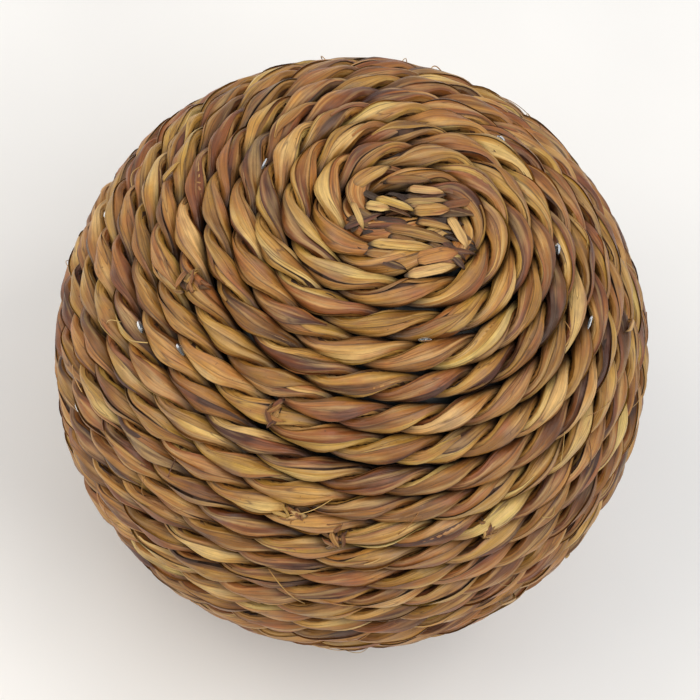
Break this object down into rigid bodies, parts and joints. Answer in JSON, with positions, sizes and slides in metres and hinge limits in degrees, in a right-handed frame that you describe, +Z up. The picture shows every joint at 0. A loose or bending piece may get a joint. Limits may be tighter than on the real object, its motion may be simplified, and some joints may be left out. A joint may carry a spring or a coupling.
{
  "type": "decorative sphere",
  "caption": "Decorative ball of twisted plant-leaf rope wound in one spiral round a dark core, resting on a small flat foot.",
  "frame": {"origin": "middle of the flat foot under the ball, on the surface that the ball stands on", "axes": "+Z up along the axis that the rope is wound round, from the foot to the eye of the coil; +X and +Y are level"},
  "size_m": [0.1498, 0.1494, 0.1483],
  "materials": {
    "leaf_rope": "dried leaf, satin, straw to red-brown",
    "core": "dark, with traces of clear glue"
  },
  "bodies": {
    "root": {"wound_rope": "leaf_rope", "core_ball": "core"}
  },
  "joints": []
}
